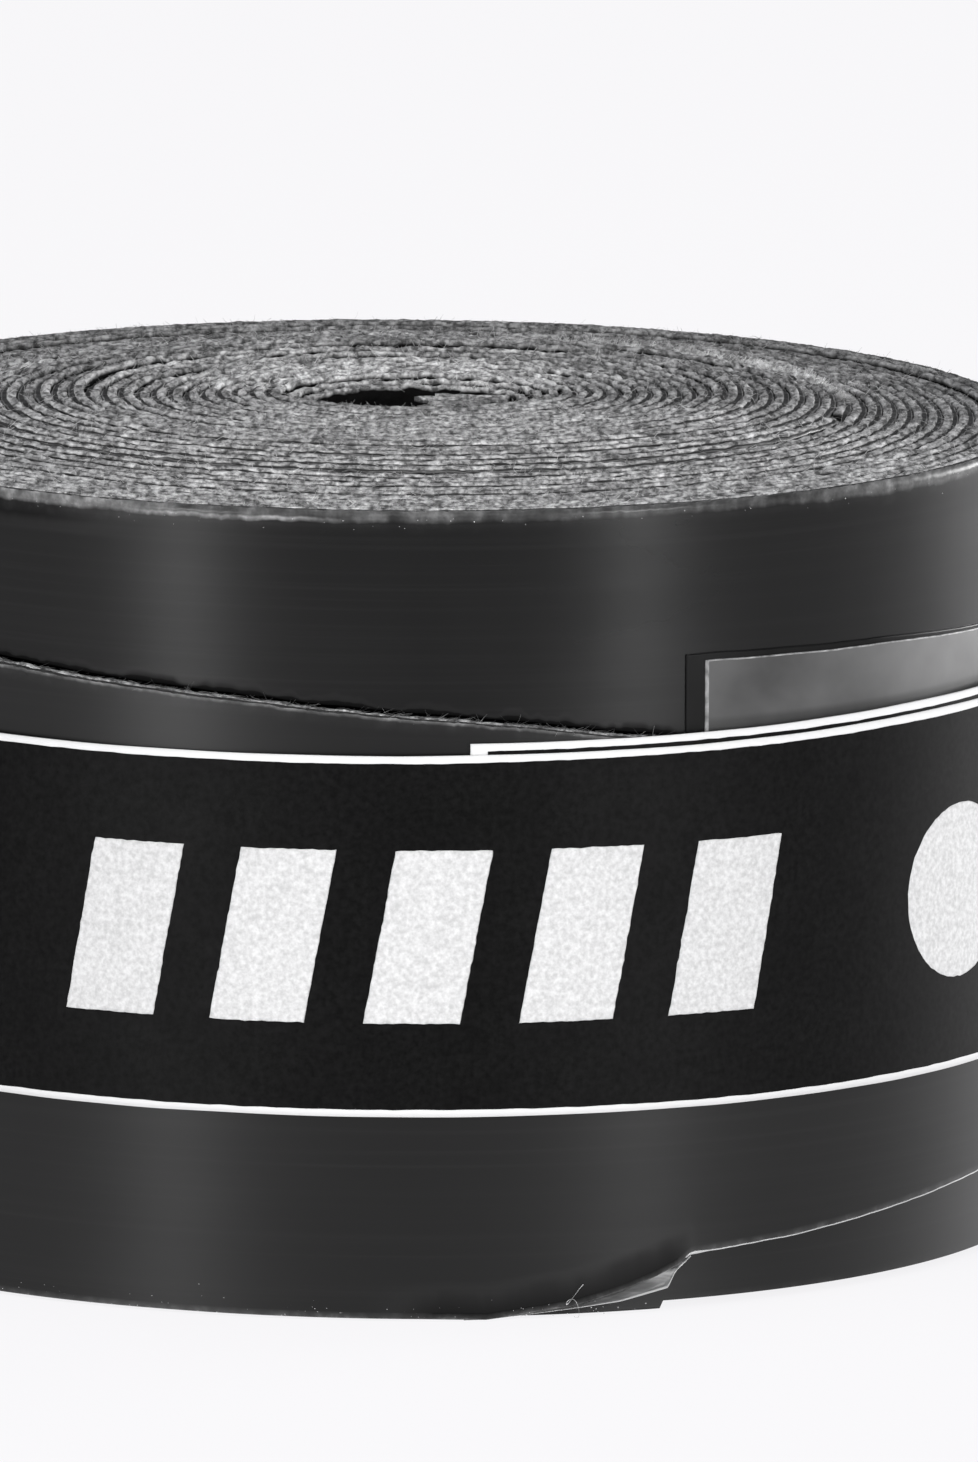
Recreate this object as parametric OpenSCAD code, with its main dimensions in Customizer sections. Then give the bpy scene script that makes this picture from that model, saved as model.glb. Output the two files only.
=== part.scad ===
// Roll of grip tape: one long strip wound on itself without a core, held by a printed paper band.
// The strip is a felt backing, a dark tacky face and a clear cover film. Its outer end is tapered
// and carries the starter tab. Millimetres, Z up, base on z = 0, roll axis on the Z axis, front at -Y.
//
// The winding is made of half rings. Rings on the +Y side are centred on the axis of the spiral and
// rings on the -Y side half a pitch to +X of it, so that each ring runs smoothly into the next.
// Angles are measured round the roll from +X, counterclockwise seen from above.

/* [Tape] */
// Width of the tape, which is the height of the roll
tape_width = 30; // [25:0.5:38]
// Number of full turns
turn_count = 33; // [12:1:45]
// Radial distance from one turn to the next
pitch = 0.6; // [0.58:0.01:0.75]
// Thickness of the felt backing
felt_thickness = 0.34; // [0.24:0.01:0.36]
// Thickness of the dark tacky face
face_thickness = 0.16; // [0.10:0.01:0.17]
// Thickness of the clear cover film
film_thickness = 0.05; // [0.02:0.01:0.05]

/* [Winding] */
// Radius of the empty eye in the middle
eye_radius = 3.84; // [3.5:0.02:6]
// How far the inner turns stand above the outer turn, which has slipped down
inner_lift = 0.3; // [0.1:0.05:0.8]
// How much further the middle of the roll stands up
dome_rise = 0.8; // [0:0.1:2]
// Share of the roll's radius inside which the dome is level
dome_level_share = 0.5; // [0.3:0.05:0.6]
// Share of the roll's radius at which the dome starts to rise
dome_foot_share = 0.86; // [0.7:0.02:0.95]

/* [Outer end] */
// Height of the outer turn's upper edge at the left side of the roll, as a share of the width
upper_edge_left_share = 0.823; // [0.78:0.005:0.9]
// Height of the upper edge at the right side, hidden by the band
upper_edge_right_share = 0.684; // [0.66:0.002:0.72]
// Height of the upper edge at the tip
upper_edge_tip_share = 0.56; // [0.5:0.01:0.6]
// Height of the lower edge at the right side
lower_edge_right_share = 0.129; // [0.08:0.005:0.18]
// Height of the lower edge at the tip
lower_edge_tip_share = 0.27; // [0.2:0.01:0.35]
// Angle at which the lower edge starts to rise
lower_edge_start = 277.5; // [272:0.5:285]
// Angle of the small step in the lower edge
lower_step_angle = 295.5; // [292:0.5:300]
// Height of the lower edge just before the step
lower_step_foot = 0.9; // [0.5:0.1:1.2]
// Height of the lower edge just after the step
lower_step_head = 2.1; // [1.5:0.1:2.2]
// Angle of the tip past the right side
tip_angle = 35; // [20:1:40]

/* [Starter tab] */
// Angle of the left end of the liner
liner_start = 296.5; // [292:0.5:310]
// Upper edge of the liner
liner_top = 24.6; // [22:0.1:26]
// Lower edge of the liner
liner_bottom = 9.5; // [8:0.1:12]
// Thickness of the liner
liner_thickness = 0.05; // [0.03:0.01:0.06]
// Thickness of the adhesive strip
adhesive_thickness = 0.06; // [0.04:0.01:0.08]
// How far the adhesive strip stays inside the liner's end
adhesive_inset = 0.75; // [0.4:0.05:1.5]
// Height of the adhesive strip's upper edge on the roll's centre line
adhesive_top = 24.85; // [23.5:0.05:25]
// Fall of that edge to the right, as a slope
adhesive_fall = 0.045; // [0:0.005:0.08]

/* [Band] */
// Height of the printed band
band_height = 13.4; // [10:0.1:14]
// Height of the band's lower edge above the base
band_bottom = 7.7; // [6:0.1:9]
// Free gap between the roll and the band
band_gap = 0.1; // [0.08:0.01:0.3]
// Thickness of the paper
paper_thickness = 0.1; // [0.06:0.01:0.15]
// Thickness of the printed layer
print_thickness = 0.03; // [0.02:0.01:0.05]
// Thickness of the glue in the lap
glue_thickness = 0.03; // [0.02:0.01:0.05]
// White margin left by the print along both edges
edge_margin = 0.27; // [0.2:0.01:0.6]
// White margin at the band's inner end
end_margin = 0.65; // [0.4:0.05:1.2]
// Angle at which the inner lap starts
lap_start = 276.5; // [272:0.5:285]
// Angle at which the outer lap ends
lap_end = 350; // [340:1:355]
// How much higher the inner lap sits than the outer one
lap_offset = 0.4; // [0.1:0.05:0.8]
// Length of the glued part of the lap
glue_length = 12; // [6:0.5:18]

/* [Printed marks] */
// Number of slanted bars
bar_count = 5; // [3:1:6]
// Angle of the first bar
bar_start = 245.4; // [238:0.2:250]
// Angle from one bar to the next
bar_step = 13.4; // [12:0.1:14]
// Width of a bar
bar_width = 3.6; // [2:0.1:4]
// Height of a bar
bar_height = 6.5; // [4:0.1:8]
// Sideways lean of a bar from bottom to top
bar_lean = 1.2; // [0:0.1:1.2]
// Angle of the round mark
dot_angle = 327; // [324:0.5:332]
// Radius of the round mark
dot_radius = 3.3; // [2:0.1:4]

/* [Tail in the eye] */
// Radius of the bend at the strip's inner end
tail_bend_radius = 2.2; // [1.8:0.1:2.3]
// Length of the straight tail after the bend
tail_length = 3.4; // [1:0.1:3.8]

/* [Hidden] */
// Facets to a full circle in the preview
roundness = 180;
// Allowance by which a cutting body runs past the faces that it cuts
over = 1;
// Larger than the whole roll
far = 90;
// Step by which the tapered tip is narrower where it meets the outer turn, so that the two meet cleanly
seam_step = 0.02;
felt_outer = felt_thickness;
face_outer = felt_outer + face_thickness;
film_outer = face_outer + film_thickness;
half_pitch = pitch / 2;
// Inner radius of the outer turn on the -Y side, and of its tapered end on the +Y side
last_front_radius = eye_radius + half_pitch + turn_count * pitch;
last_back_radius = eye_radius + turn_count * pitch;
end_radius = last_back_radius + pitch;
roll_radius = last_front_radius + film_outer;
dome_foot = roll_radius * dome_foot_share;
dome_level = roll_radius * dome_level_share;
band_wall = paper_thickness + print_thickness;
lap_pitch = band_wall + glue_thickness;
band_radius = roll_radius + band_gap;
outer_lap_radius = band_radius + lap_pitch;
// Shift that brings the middle of the band's outline, the widest part, onto the Z axis
centre_shift_x = lap_pitch / 2 - half_pitch;
centre_shift_y = lap_pitch / 4;
band_middle = band_bottom + band_height / 2;

// Height of a turn above the outer one: level in the middle and down to inner_lift at the rim.
function lift(radius) =
    inner_lift + dome_rise * (1 - cos(180 * dome_share(radius))) / 2;
function dome_share(radius) =
    max(0, min(1, (dome_foot - radius) / (dome_foot - dome_level)));

// Wall of a tube, swept from a start angle, on a centre that lies on the X axis.
module arc_wall(centre, start_angle, sweep, radius, thickness, bottom, height) {
    translate([centre, 0, bottom])
        rotate_extrude(start = start_angle, angle = sweep, $fn = roundness)
            translate([radius, 0])
                square([thickness, height]);
}

// Everything above a plane that passes through a height on the axis and is tilted about Y or X.
module above_plane(height, slope_x, slope_y) {
    translate([0, 0, height])
        rotate([atan(slope_y), -atan(slope_x), 0])
            translate([-far, -far, 0])
                cube([2 * far, 2 * far, far]);
}

// Everything below such a plane.
module below_plane(height, slope_x, slope_y) {
    translate([0, 0, height])
        rotate([atan(slope_y), -atan(slope_x), 0])
            translate([-far, -far, -far])
                cube([2 * far, 2 * far, far]);
}

// The turns under the outer one, from one depth in the strip to another.
module inner_turns(from_depth, to_depth) {
    thickness = to_depth - from_depth;
    for (turn = [0 : turn_count - 1]) {
        back_radius = eye_radius + turn * pitch;
        front_radius = back_radius + half_pitch;
        arc_wall(0, 0, 180, back_radius + from_depth, thickness, lift(back_radius), tape_width);
        arc_wall(half_pitch, 180, 180, front_radius + from_depth, thickness,
                 lift(front_radius), tape_width);
    }
}

// The strip's inner end, bent inward and straight across the eye.
module inner_tail(from_depth, to_depth) {
    thickness = to_depth - from_depth;
    bend_centre = eye_radius - tail_bend_radius;
    arc_wall(bend_centre, 0, -90, tail_bend_radius + from_depth, thickness, lift(0), tape_width);
    translate([bend_centre - tail_length, -tail_bend_radius - to_depth, lift(0)])
        cube([tail_length, thickness, tape_width]);
}

// Outer turn, back half: its upper edge starts at full width and comes down to the left side.
module outer_back_half(from_depth, to_depth) {
    reach = last_back_radius + film_outer;
    left_height = tape_width * upper_edge_left_share;
    difference() {
        arc_wall(0, 0, 180, last_back_radius + from_depth, to_depth - from_depth, 0, tape_width);
        above_plane((tape_width + left_height) / 2, (tape_width - left_height) / (2 * reach), 0);
    }
}

// Outer turn, front half: the upper edge falls to the right and the lower edge rises to the right.
module outer_front_half(from_depth, to_depth) {
    left_height = tape_width * upper_edge_left_share;
    right_height = tape_width * upper_edge_right_share;
    right_bottom = tape_width * lower_edge_right_share;
    left_x = half_pitch - roll_radius;
    right_x = half_pitch + roll_radius;
    start_x = half_pitch + roll_radius * cos(lower_edge_start);
    step_x = half_pitch + roll_radius * cos(lower_step_angle);
    upper_slope = (right_height - left_height) / (right_x - left_x);
    first_slope = lower_step_foot / (step_x - start_x);
    second_slope = (right_bottom - lower_step_head) / (right_x - step_x);
    difference() {
        arc_wall(half_pitch, 180, 180, last_front_radius + from_depth, to_depth - from_depth,
                 0, tape_width);
        above_plane(left_height - upper_slope * left_x, upper_slope, 0);
        below_plane(-first_slope * start_x, first_slope, 0);
        intersection() {
            below_plane(lower_step_head - second_slope * step_x, second_slope, 0);
            translate([step_x, -far, -over])
                cube([far, far, far]);
        }
    }
}

// Tapered end past the right side, narrowing to a blunt tip under the band.
module outer_tip(from_depth, to_depth) {
    tip_y = (end_radius + film_outer) * sin(tip_angle);
    upper_start = tape_width * upper_edge_right_share - seam_step;
    lower_start = tape_width * lower_edge_right_share + seam_step;
    upper_slope = (tape_width * upper_edge_tip_share - upper_start) / tip_y;
    lower_slope = (tape_width * lower_edge_tip_share - lower_start) / tip_y;
    difference() {
        arc_wall(0, 0, tip_angle, end_radius + from_depth, to_depth - from_depth, 0, tape_width);
        above_plane(upper_start, 0, upper_slope);
        below_plane(lower_start, 0, lower_slope);
    }
}

// One layer of the whole strip.
module strip_layer(from_depth, to_depth) {
    inner_turns(from_depth, to_depth);
    inner_tail(from_depth, to_depth);
    outer_back_half(from_depth, to_depth);
    outer_front_half(from_depth, to_depth);
    outer_tip(from_depth, to_depth);
}

// Wall of the starter tab, lying on the turn under the outer one, between two depths above it.
module tab_wall(from_angle, from_depth, to_depth, bottom, top) {
    front_radius = last_front_radius - pitch + film_outer;
    back_radius = last_back_radius + film_outer;
    arc_wall(half_pitch, 0, from_angle - 360, front_radius + from_depth, to_depth - from_depth,
             bottom, top - bottom);
    arc_wall(0, 0, tip_angle, back_radius + from_depth, to_depth - from_depth,
             bottom, top - bottom);
}

module centred() {
    translate([centre_shift_x, centre_shift_y, 0])
        children();
}

module felt_backing() {
    color([0.62, 0.62, 0.61])
        centred()
            difference() {
                strip_layer(0, felt_outer);
                // The tab is pressed into the felt of the outer turn.
                tab_wall(liner_start, 0, liner_thickness, liner_bottom, liner_top);
                adhesive_wall();
            }
}

module grip_face() {
    color([0.10, 0.10, 0.10])
        centred()
            strip_layer(felt_outer, face_outer);
}

module cover_film() {
    color([0.75, 0.77, 0.78, 0.5])
        centred()
            strip_layer(face_outer, film_outer);
}

module starter_liner() {
    color([0.16, 0.16, 0.16])
        centred()
            tab_wall(liner_start, 0, liner_thickness, liner_bottom, liner_top);
}

module adhesive_wall() {
    inset_angle = adhesive_inset / roll_radius * 180 / PI;
    difference() {
        tab_wall(liner_start + inset_angle, liner_thickness, liner_thickness + adhesive_thickness,
                 liner_bottom + adhesive_inset, adhesive_top);
        above_plane(adhesive_top, -adhesive_fall, 0);
    }
}

module starter_adhesive() {
    color([0.45, 0.45, 0.46])
        centred()
            adhesive_wall();
}

// The band's inner lap, between two depths in its paper and inside a margin along its edges.
module band_inner_lap(from_angle, from_depth, to_depth, margin) {
    arc_wall(half_pitch, 0, from_angle - 360, band_radius + from_depth, to_depth - from_depth,
             band_bottom + lap_offset + margin, band_height - 2 * margin);
}

// The band's front half and outer lap.
module band_outer_lap(to_angle, from_depth, to_depth, margin) {
    arc_wall(half_pitch, 180, to_angle - 180, outer_lap_radius + from_depth,
             to_depth - from_depth, band_bottom + margin, band_height - 2 * margin);
}

// The back half comes down from the inner lap's height to the outer lap's.
module band_back(from_depth, to_depth, margin) {
    back_centre = half_pitch - lap_pitch / 2;
    back_radius = band_radius + lap_pitch / 2;
    slope = lap_offset / (2 * back_radius);
    middle = band_bottom + lap_offset / 2;
    difference() {
        arc_wall(back_centre, 0, 180, back_radius + from_depth, to_depth - from_depth,
                 band_bottom - over, band_height + 2 * over + lap_offset);
        translate([back_centre, 0, 0])
            above_plane(middle + band_height - margin, slope, 0);
        translate([back_centre, 0, 0])
            below_plane(middle + margin, slope, 0);
    }
}

module band_paper() {
    color([0.95, 0.95, 0.95])
        centred() {
            band_inner_lap(lap_start, 0, paper_thickness, 0);
            band_back(0, paper_thickness, 0);
            band_outer_lap(lap_end, 0, paper_thickness, 0);
        }
}

// Prism that stands on the band at an angle round the roll, its outline drawn facing outward.
module mark_prism(angle) {
    translate([half_pitch, 0, band_middle])
        rotate([0, 0, angle])
            translate([roll_radius - over, 0, 0])
                rotate([90, 0, 90])
                    linear_extrude(3 * over)
                        children();
}

// The marks are left out of the print, so that the white paper shows through.
module marks() {
    for (bar = [0 : bar_count - 1])
        mark_prism(bar_start + bar * bar_step)
            polygon([[-bar_width / 2 - bar_lean / 2, -bar_height / 2],
                     [bar_width / 2 - bar_lean / 2, -bar_height / 2],
                     [bar_width / 2 + bar_lean / 2, bar_height / 2],
                     [-bar_width / 2 + bar_lean / 2, bar_height / 2]]);
    mark_prism(dot_angle)
        circle(dot_radius, $fn = roundness);
}

module band_print() {
    end_margin_angle = end_margin / band_radius * 180 / PI;
    color([0.06, 0.06, 0.06])
        centred() {
            band_inner_lap(lap_start + end_margin_angle, paper_thickness, band_wall, edge_margin);
            band_back(paper_thickness, band_wall, edge_margin);
            difference() {
                band_outer_lap(lap_end, paper_thickness, band_wall, edge_margin);
                marks();
            }
        }
}

// Glue between the laps, near the end of the outer one.
module band_glue() {
    glue_angle = glue_length / band_radius * 180 / PI;
    color([0.80, 0.76, 0.60])
        centred()
            arc_wall(half_pitch, lap_end, -glue_angle, band_radius + band_wall, glue_thickness,
                     band_bottom + lap_offset + edge_margin,
                     band_height - lap_offset - 2 * edge_margin);
}

felt_backing();
grip_face();
cover_film();
starter_liner();
starter_adhesive();
band_paper();
band_print();
band_glue();
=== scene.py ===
"""Looks of a grip tape roll: felt-backed tape wound on itself, a starter tab and a printed paper band.

Lengths inside the script are millimetres in the CAD frame, and every mesh is scaled to metres as it
is made. An angle is in degrees round the roll from +X, counterclockwise seen from above, and the
front of the roll is at 270. A place along the wound tape is a number of turns from the eye.
"""

import math

import bpy
import numpy as np
from mathutils import Matrix, Vector
from mathutils.geometry import delaunay_2d_cdt
from numpy.random import default_rng


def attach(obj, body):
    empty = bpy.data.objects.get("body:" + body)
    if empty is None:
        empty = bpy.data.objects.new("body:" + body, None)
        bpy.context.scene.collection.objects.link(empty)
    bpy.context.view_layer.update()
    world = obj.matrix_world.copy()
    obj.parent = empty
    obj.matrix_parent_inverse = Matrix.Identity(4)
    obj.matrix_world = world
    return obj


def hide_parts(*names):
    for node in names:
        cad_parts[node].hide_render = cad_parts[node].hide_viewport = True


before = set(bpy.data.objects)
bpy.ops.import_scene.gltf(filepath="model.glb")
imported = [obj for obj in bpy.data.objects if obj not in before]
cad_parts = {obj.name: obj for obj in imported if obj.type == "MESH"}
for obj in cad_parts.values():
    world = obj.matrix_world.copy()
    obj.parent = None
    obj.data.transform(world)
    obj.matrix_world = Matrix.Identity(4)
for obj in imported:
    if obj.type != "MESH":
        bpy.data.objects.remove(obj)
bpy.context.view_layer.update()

MM = 0.001

# ---- sizes shared with the CAD model
PITCH = 0.60  # from one turn to the next
EYE = 3.84  # radius of the empty middle
TURNS = 33  # full turns under the outer one
FELT = 0.34  # depth of the felt's outer face in the strip
FACE = 0.50  # depth of the grip face's outer side
FILM = 0.55  # depth of the cover film's outer side
WIDTH = 30.0  # width of the tape
LIFT = 0.30  # the inner turns stand this much above the outer one
CENTRE = np.array([-0.22, 0.04])  # centre of the back halves of the turns
FRONT_CENTRE = CENTRE + np.array([PITCH / 2, 0.0])
RIM = EYE + PITCH / 2 + (TURNS - 1) * PITCH + FILM  # outer face of the turn under the outer one
OUTSIDE = RIM + PITCH  # outer face of the outer turn
TIP = TURNS + 1 + 35 / 360  # where the tape's outer end stops
LAST_UNDER = TURNS - 1  # where the turn under the outer one starts
FRONT = 270  # angle of the front
BAND_HEIGHT = 13.5
BAND_BOTTOM = 7.72
LAP_OFFSET = 0.40  # the inner lap sits this much higher
LAP_START = 275.8
LAP_END = 710.0  # one full turn and the lap
PAPER = 0.10
PRINT = 0.03


# ---- small helpers
def smooth(x):
    """Smooth step from 0 to 1."""
    x = np.clip(x, 0, 1)
    return x * x * (3 - 2 * x)


def ripple(seed, count, shortest, longest):
    """A smooth random function with values of about -1 to 1, made of waves between two lengths."""
    draw = default_rng(seed)
    length = np.exp(draw.uniform(math.log(shortest), math.log(longest), count))
    phase = draw.uniform(0, math.tau, count)
    share = length ** 0.5
    share = share / np.sqrt((share ** 2).sum() / 2) / 1.6

    def value(x):
        x = np.asarray(x, float)
        return (share * np.sin(math.tau * x[..., None] / length + phase)).sum(-1)

    return value


def table(x, pairs):
    """Value at x on the line through (x, value) pairs."""
    return np.interp(x, *zip(*pairs))


def around(degrees, radius):
    """Plan points at angles round the centre of the front halves of the turns."""
    angle = np.radians(degrees)
    return FRONT_CENTRE + np.stack([np.cos(angle), np.sin(angle)], -1) * np.asarray(radius)[..., None]


def rise_on(points, height):
    """Points in space from plan points and their heights, or the one height of them all."""
    return np.column_stack([points, np.broadcast_to(height, len(points))])


def add_object(name, data):
    """A new object in the scene."""
    obj = bpy.data.objects.new(name, data)
    bpy.context.scene.collection.objects.link(obj)
    return obj


def build(name, verts, quads, tris=(), flat=(), **values):
    """A mesh object from millimetre points. flat lists the indices of the faces left unsmoothed, and
    values holds a number for each vertex under the name of each attribute."""
    verts = np.asarray(verts, float) * MM
    verts[:, 2] = np.maximum(verts[:, 2], 0)
    quads = np.asarray(quads, int).reshape(-1, 4)
    tris = np.asarray(tris, int).reshape(-1, 3)
    # the signed volume tells whether the faces point outward
    corners = np.vstack([quads[:, :3], quads[:, [0, 2, 3]], tris])
    p, q, r = (verts[corners[:, k]] for k in range(3))
    if (p * np.cross(q, r)).sum() < 0:
        quads, tris = quads[:, ::-1], tris[:, ::-1]
    mesh = bpy.data.meshes.new(name)
    mesh.from_pydata(verts.tolist(), [], quads.tolist() + tris.tolist())
    soft = np.ones(len(mesh.polygons), bool)
    soft[np.asarray(flat, int)] = False
    mesh.polygons.foreach_set("use_smooth", soft)
    for key, data in values.items():
        layer = mesh.attributes.new(key, "FLOAT", "POINT")
        layer.data.foreach_set("value", np.asarray(data, np.float32).ravel())
    mesh.update()
    return add_object(name, mesh)


def tube_faces(sections, corners):
    """Quads of a closed tube of so many sections with so many corners, and the two end caps."""
    i = np.arange(sections - 1)[:, None] * corners
    j = np.arange(corners)[None, :]
    k = (j + 1) % corners
    quads = np.stack([i + j, i + k, i + corners + k, i + corners + j], -1).reshape(-1, 4)
    fan = np.array([[0, c + 1, c] for c in range(1, corners - 1)])
    last = (sections - 1) * corners
    return quads, np.vstack([fan, fan[:, ::-1] + last])


def tube(name, rows, flat_corners=(), **values):
    """A closed strip. Each of its corners has a row of plan points and heights along the strip, and
    flat_corners are the sides left unsmoothed."""
    rings = np.stack([rise_on(points, height) for points, height in rows], 1)
    sections, corners = rings.shape[:2]
    quads, caps = tube_faces(sections, corners)
    sharp = np.flatnonzero(np.isin(np.arange(len(quads)) % corners, list(flat_corners)))
    sharp = np.append(sharp, len(quads) + np.arange(len(caps)))
    return build(name, rings.reshape(-1, 3), quads, caps, sharp, **values)


def finish_piece(obj, material, body, slot, *nodes):
    """Gives a piece its material and its body, and hides the CAD nodes that it stands for. slot is not
    used.
    """
    obj.data.materials.append(material)
    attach(obj, body)
    if nodes:
        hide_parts(*nodes)


# ---- materials
def socket_set(node, **values):
    """Sets sockets by name, with underscores for the spaces."""
    for key, value in values.items():
        node.inputs[key.replace("_", " ")].default_value = value


class Shader:
    """A Principled material with short calls for its nodes."""

    def __init__(self, name, **values):
        self.material = bpy.data.materials.new(name)
        self.material.use_nodes = True
        self.tree = self.material.node_tree
        self.main = self.tree.nodes["Principled BSDF"]
        socket_set(self.main, **values)
        self.place = self.node("ShaderNodeTexCoord").outputs["Object"]

    def node(self, kind, **values):
        made = self.tree.nodes.new(kind)
        socket_set(made, **values)
        return made

    def link(self, source, node, key):
        self.tree.links.new(source, node.inputs[key])

    def noise(self, scale, detail=2.0, stretch=(1, 1, 1), rough=0.5):
        mapping = self.node("ShaderNodeMapping", Scale=stretch)
        self.link(self.place, mapping, "Vector")
        made = self.node("ShaderNodeTexNoise", Scale=scale, Detail=detail, Roughness=rough)
        self.link(mapping.outputs["Vector"], made, "Vector")
        return made.outputs["Fac"]

    def attribute(self, name):
        made = self.node("ShaderNodeAttribute")
        made.attribute_name = name
        return made.outputs["Fac"]

    def ramp(self, source, *stops):
        """Colour ramp with (position, grey or colour) stops."""
        made = self.node("ShaderNodeValToRGB")
        self.link(source, made, "Fac")
        bar = made.color_ramp.elements
        while len(bar) < len(stops):
            bar.new(0.5)
        for element, (position, colour) in zip(bar, stops):
            element.position = position
            if isinstance(colour, (int, float)):
                colour = (colour, colour, colour)
            element.color = (*colour, 1)
        return made.outputs["Color"]

    def mix(self, amount, first, second, kind="MIX"):
        made = self.tree.nodes.new("ShaderNodeMix")
        made.data_type = "RGBA"
        made.blend_type = kind
        for key, value in ((0, amount), (6, first), (7, second)):
            if isinstance(value, bpy.types.NodeSocket):
                self.link(value, made, key)
            else:
                made.inputs[key].default_value = (value, value, value, 1) if key else value
        return made.outputs[2]

    def times(self, first, second):
        return self.mix(1.0, first, second, "MULTIPLY")

    def bump(self, *layers):
        """Bump from (height source, strength, distance in millimetres) layers."""
        normal = None
        for source, strength, distance in layers:
            made = self.node("ShaderNodeBump", Strength=strength, Distance=distance * MM)
            self.link(source, made, "Height")
            if normal is not None:
                self.link(normal, made, "Normal")
            normal = made.outputs["Normal"]
        self.link(normal, self.main, "Normal")

    def colour(self, source):
        self.link(source, self.main, "Base Color")

    def rough(self, source):
        self.link(source, self.main, "Roughness")


def felt_material():
    """Cut edge of grey non-woven felt: pale and dark fibres at the edge under painted light and shade,
    and painted shade making its sides, down between the turns, nearly black.
    """
    s = Shader("felt", Roughness=0.9, Specular_IOR_Level=0.04)
    lay = (1, 0.42, 1)  # the fibres lie a little more along Y than along X
    fine, coarse = s.noise(4000, 3, lay, 0.6), s.noise(1500, 2, lay)
    grain = s.ramp(fine, (0.36, 0.16), (0.5, 0.49), (0.63, 0.86))
    clumps = s.ramp(coarse, (0.32, 0.50), (0.62, 1.0))
    patches = s.ramp(s.noise(330, 2), (0.3, 0.78), (0.7, 1.0))
    # painted light and shade: the grain is multiplied by the felt's painted light from the tone
    # attribute
    top = s.times(s.times(s.times(grain, clumps), patches), s.attribute("tone"))
    # painted shade: the walls, marked by the depth attribute, are painted nearly black where they lie
    # down between the turns
    s.colour(s.mix(s.attribute("depth"), top, 0.006))
    s.bump((fine, 0.8, 0.10), (coarse, 0.9, 0.20))
    return s.material


def fibre_material():
    """Single felt hairs, from nearly black to nearly white."""
    s = Shader("felt_fibre", Roughness=0.85, Specular_IOR_Level=0.15)
    colour = s.ramp(s.noise(1900, 1), (0.36, 0.24), (0.5, 0.56), (0.62, 0.90))
    # tone holds the felt's painted light and shade on most hairs, and a plain tone on the rest
    s.colour(s.times(colour, s.attribute("tone")))
    return s.material


def plain_material(name, colours, noise, bump, **values):
    """One noise between two colours, and a bump from (noise scale, detail, strength, distance)."""
    s = Shader(name, **values)
    s.colour(s.ramp(s.noise(*noise), *colours))
    if bump:
        s.bump((s.noise(*bump[:2]), *bump[2:]))
    return s.material


def film_material(name, specular):
    """Clear film lying on the dark face: a satin black wall that turns pale at its free edges, darkened
    by painted shade where it is marked.
    """
    s = Shader(name, Specular_IOR_Level=specular, Coat_Roughness=0.30, Coat_IOR=1.4)
    gloss = s.attribute("gloss")
    s.link(s.ramp(gloss, (0.0, 0.0), (1.0, 0.15)), s.main, "Coat Weight")
    cloud = s.ramp(s.noise(170, 3, (1, 1, 0.5)), (0.3, 0.0004), (0.7, 0.0020))
    fine_streaks = s.noise(420, 4, (0.05, 0.05, 12.0), 0.6)
    streaks = s.ramp(fine_streaks, (0.50, 0.0), (0.75, 0.0028))
    body = s.mix(1.0, s.mix(gloss, cloud, 0.0022), streaks, "ADD")
    # painted shade: contact darkens the film nearly to black, and roughens it too
    body = s.mix(s.attribute("contact"), body, 0.0002)
    pale = s.ramp(s.noise(1500, 4, rough=0.6), (0.33, 0.09), (0.52, 0.22), (0.70, 0.48))
    s.colour(s.mix(s.attribute("edge"), body, pale))
    smear = s.ramp(s.noise(110, 4, (1, 1, 1.6)), (0.3, 0.262), (0.7, 0.318))
    worn = s.mix(gloss, smear, s.ramp(s.noise(140, 4, (1, 1, 1.6)), (0.3, 0.310), (0.7, 0.355)))
    worn = s.mix(s.attribute("contact"), worn, 0.95)
    s.rough(s.mix(s.attribute("edge"), worn, 0.6))
    s.bump((s.noise(150, 3, (0.35, 0.35, 3.5)), 0.16, 0.05), (s.noise(2200, 2), 0.10, 0.006),
           (fine_streaks, 0.06, 0.005), (s.noise(60, 2, (1, 1, 0.5)), 0.25, 0.10))
    return s.material


def lip_material():
    """The film where it has come off the tape: pale, milky and creased."""
    s = Shader("loose_film", Roughness=0.35, Specular_IOR_Level=0.5)
    milky = s.ramp(s.noise(900, 3, (0.4, 0.4, 2.5)), (0.3, 0.035), (0.5, 0.10), (0.68, 0.40))
    s.colour(s.mix(s.attribute("edge"), milky, 0.50))
    s.bump((s.noise(1500, 3, (0.3, 0.3, 2)), 0.5, 0.04))
    return s.material


def liner_material():
    """Smooth black release film."""
    s = Shader("tab_liner", Specular_IOR_Level=0.12)
    s.colour(s.ramp(s.noise(400, 3), (0.3, 0.001), (0.7, 0.005)))
    s.rough(s.ramp(s.noise(300, 3), (0.3, 0.30), (0.7, 0.42)))
    s.bump((s.noise(900, 3), 0.3, 0.02))
    return s.material


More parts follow.
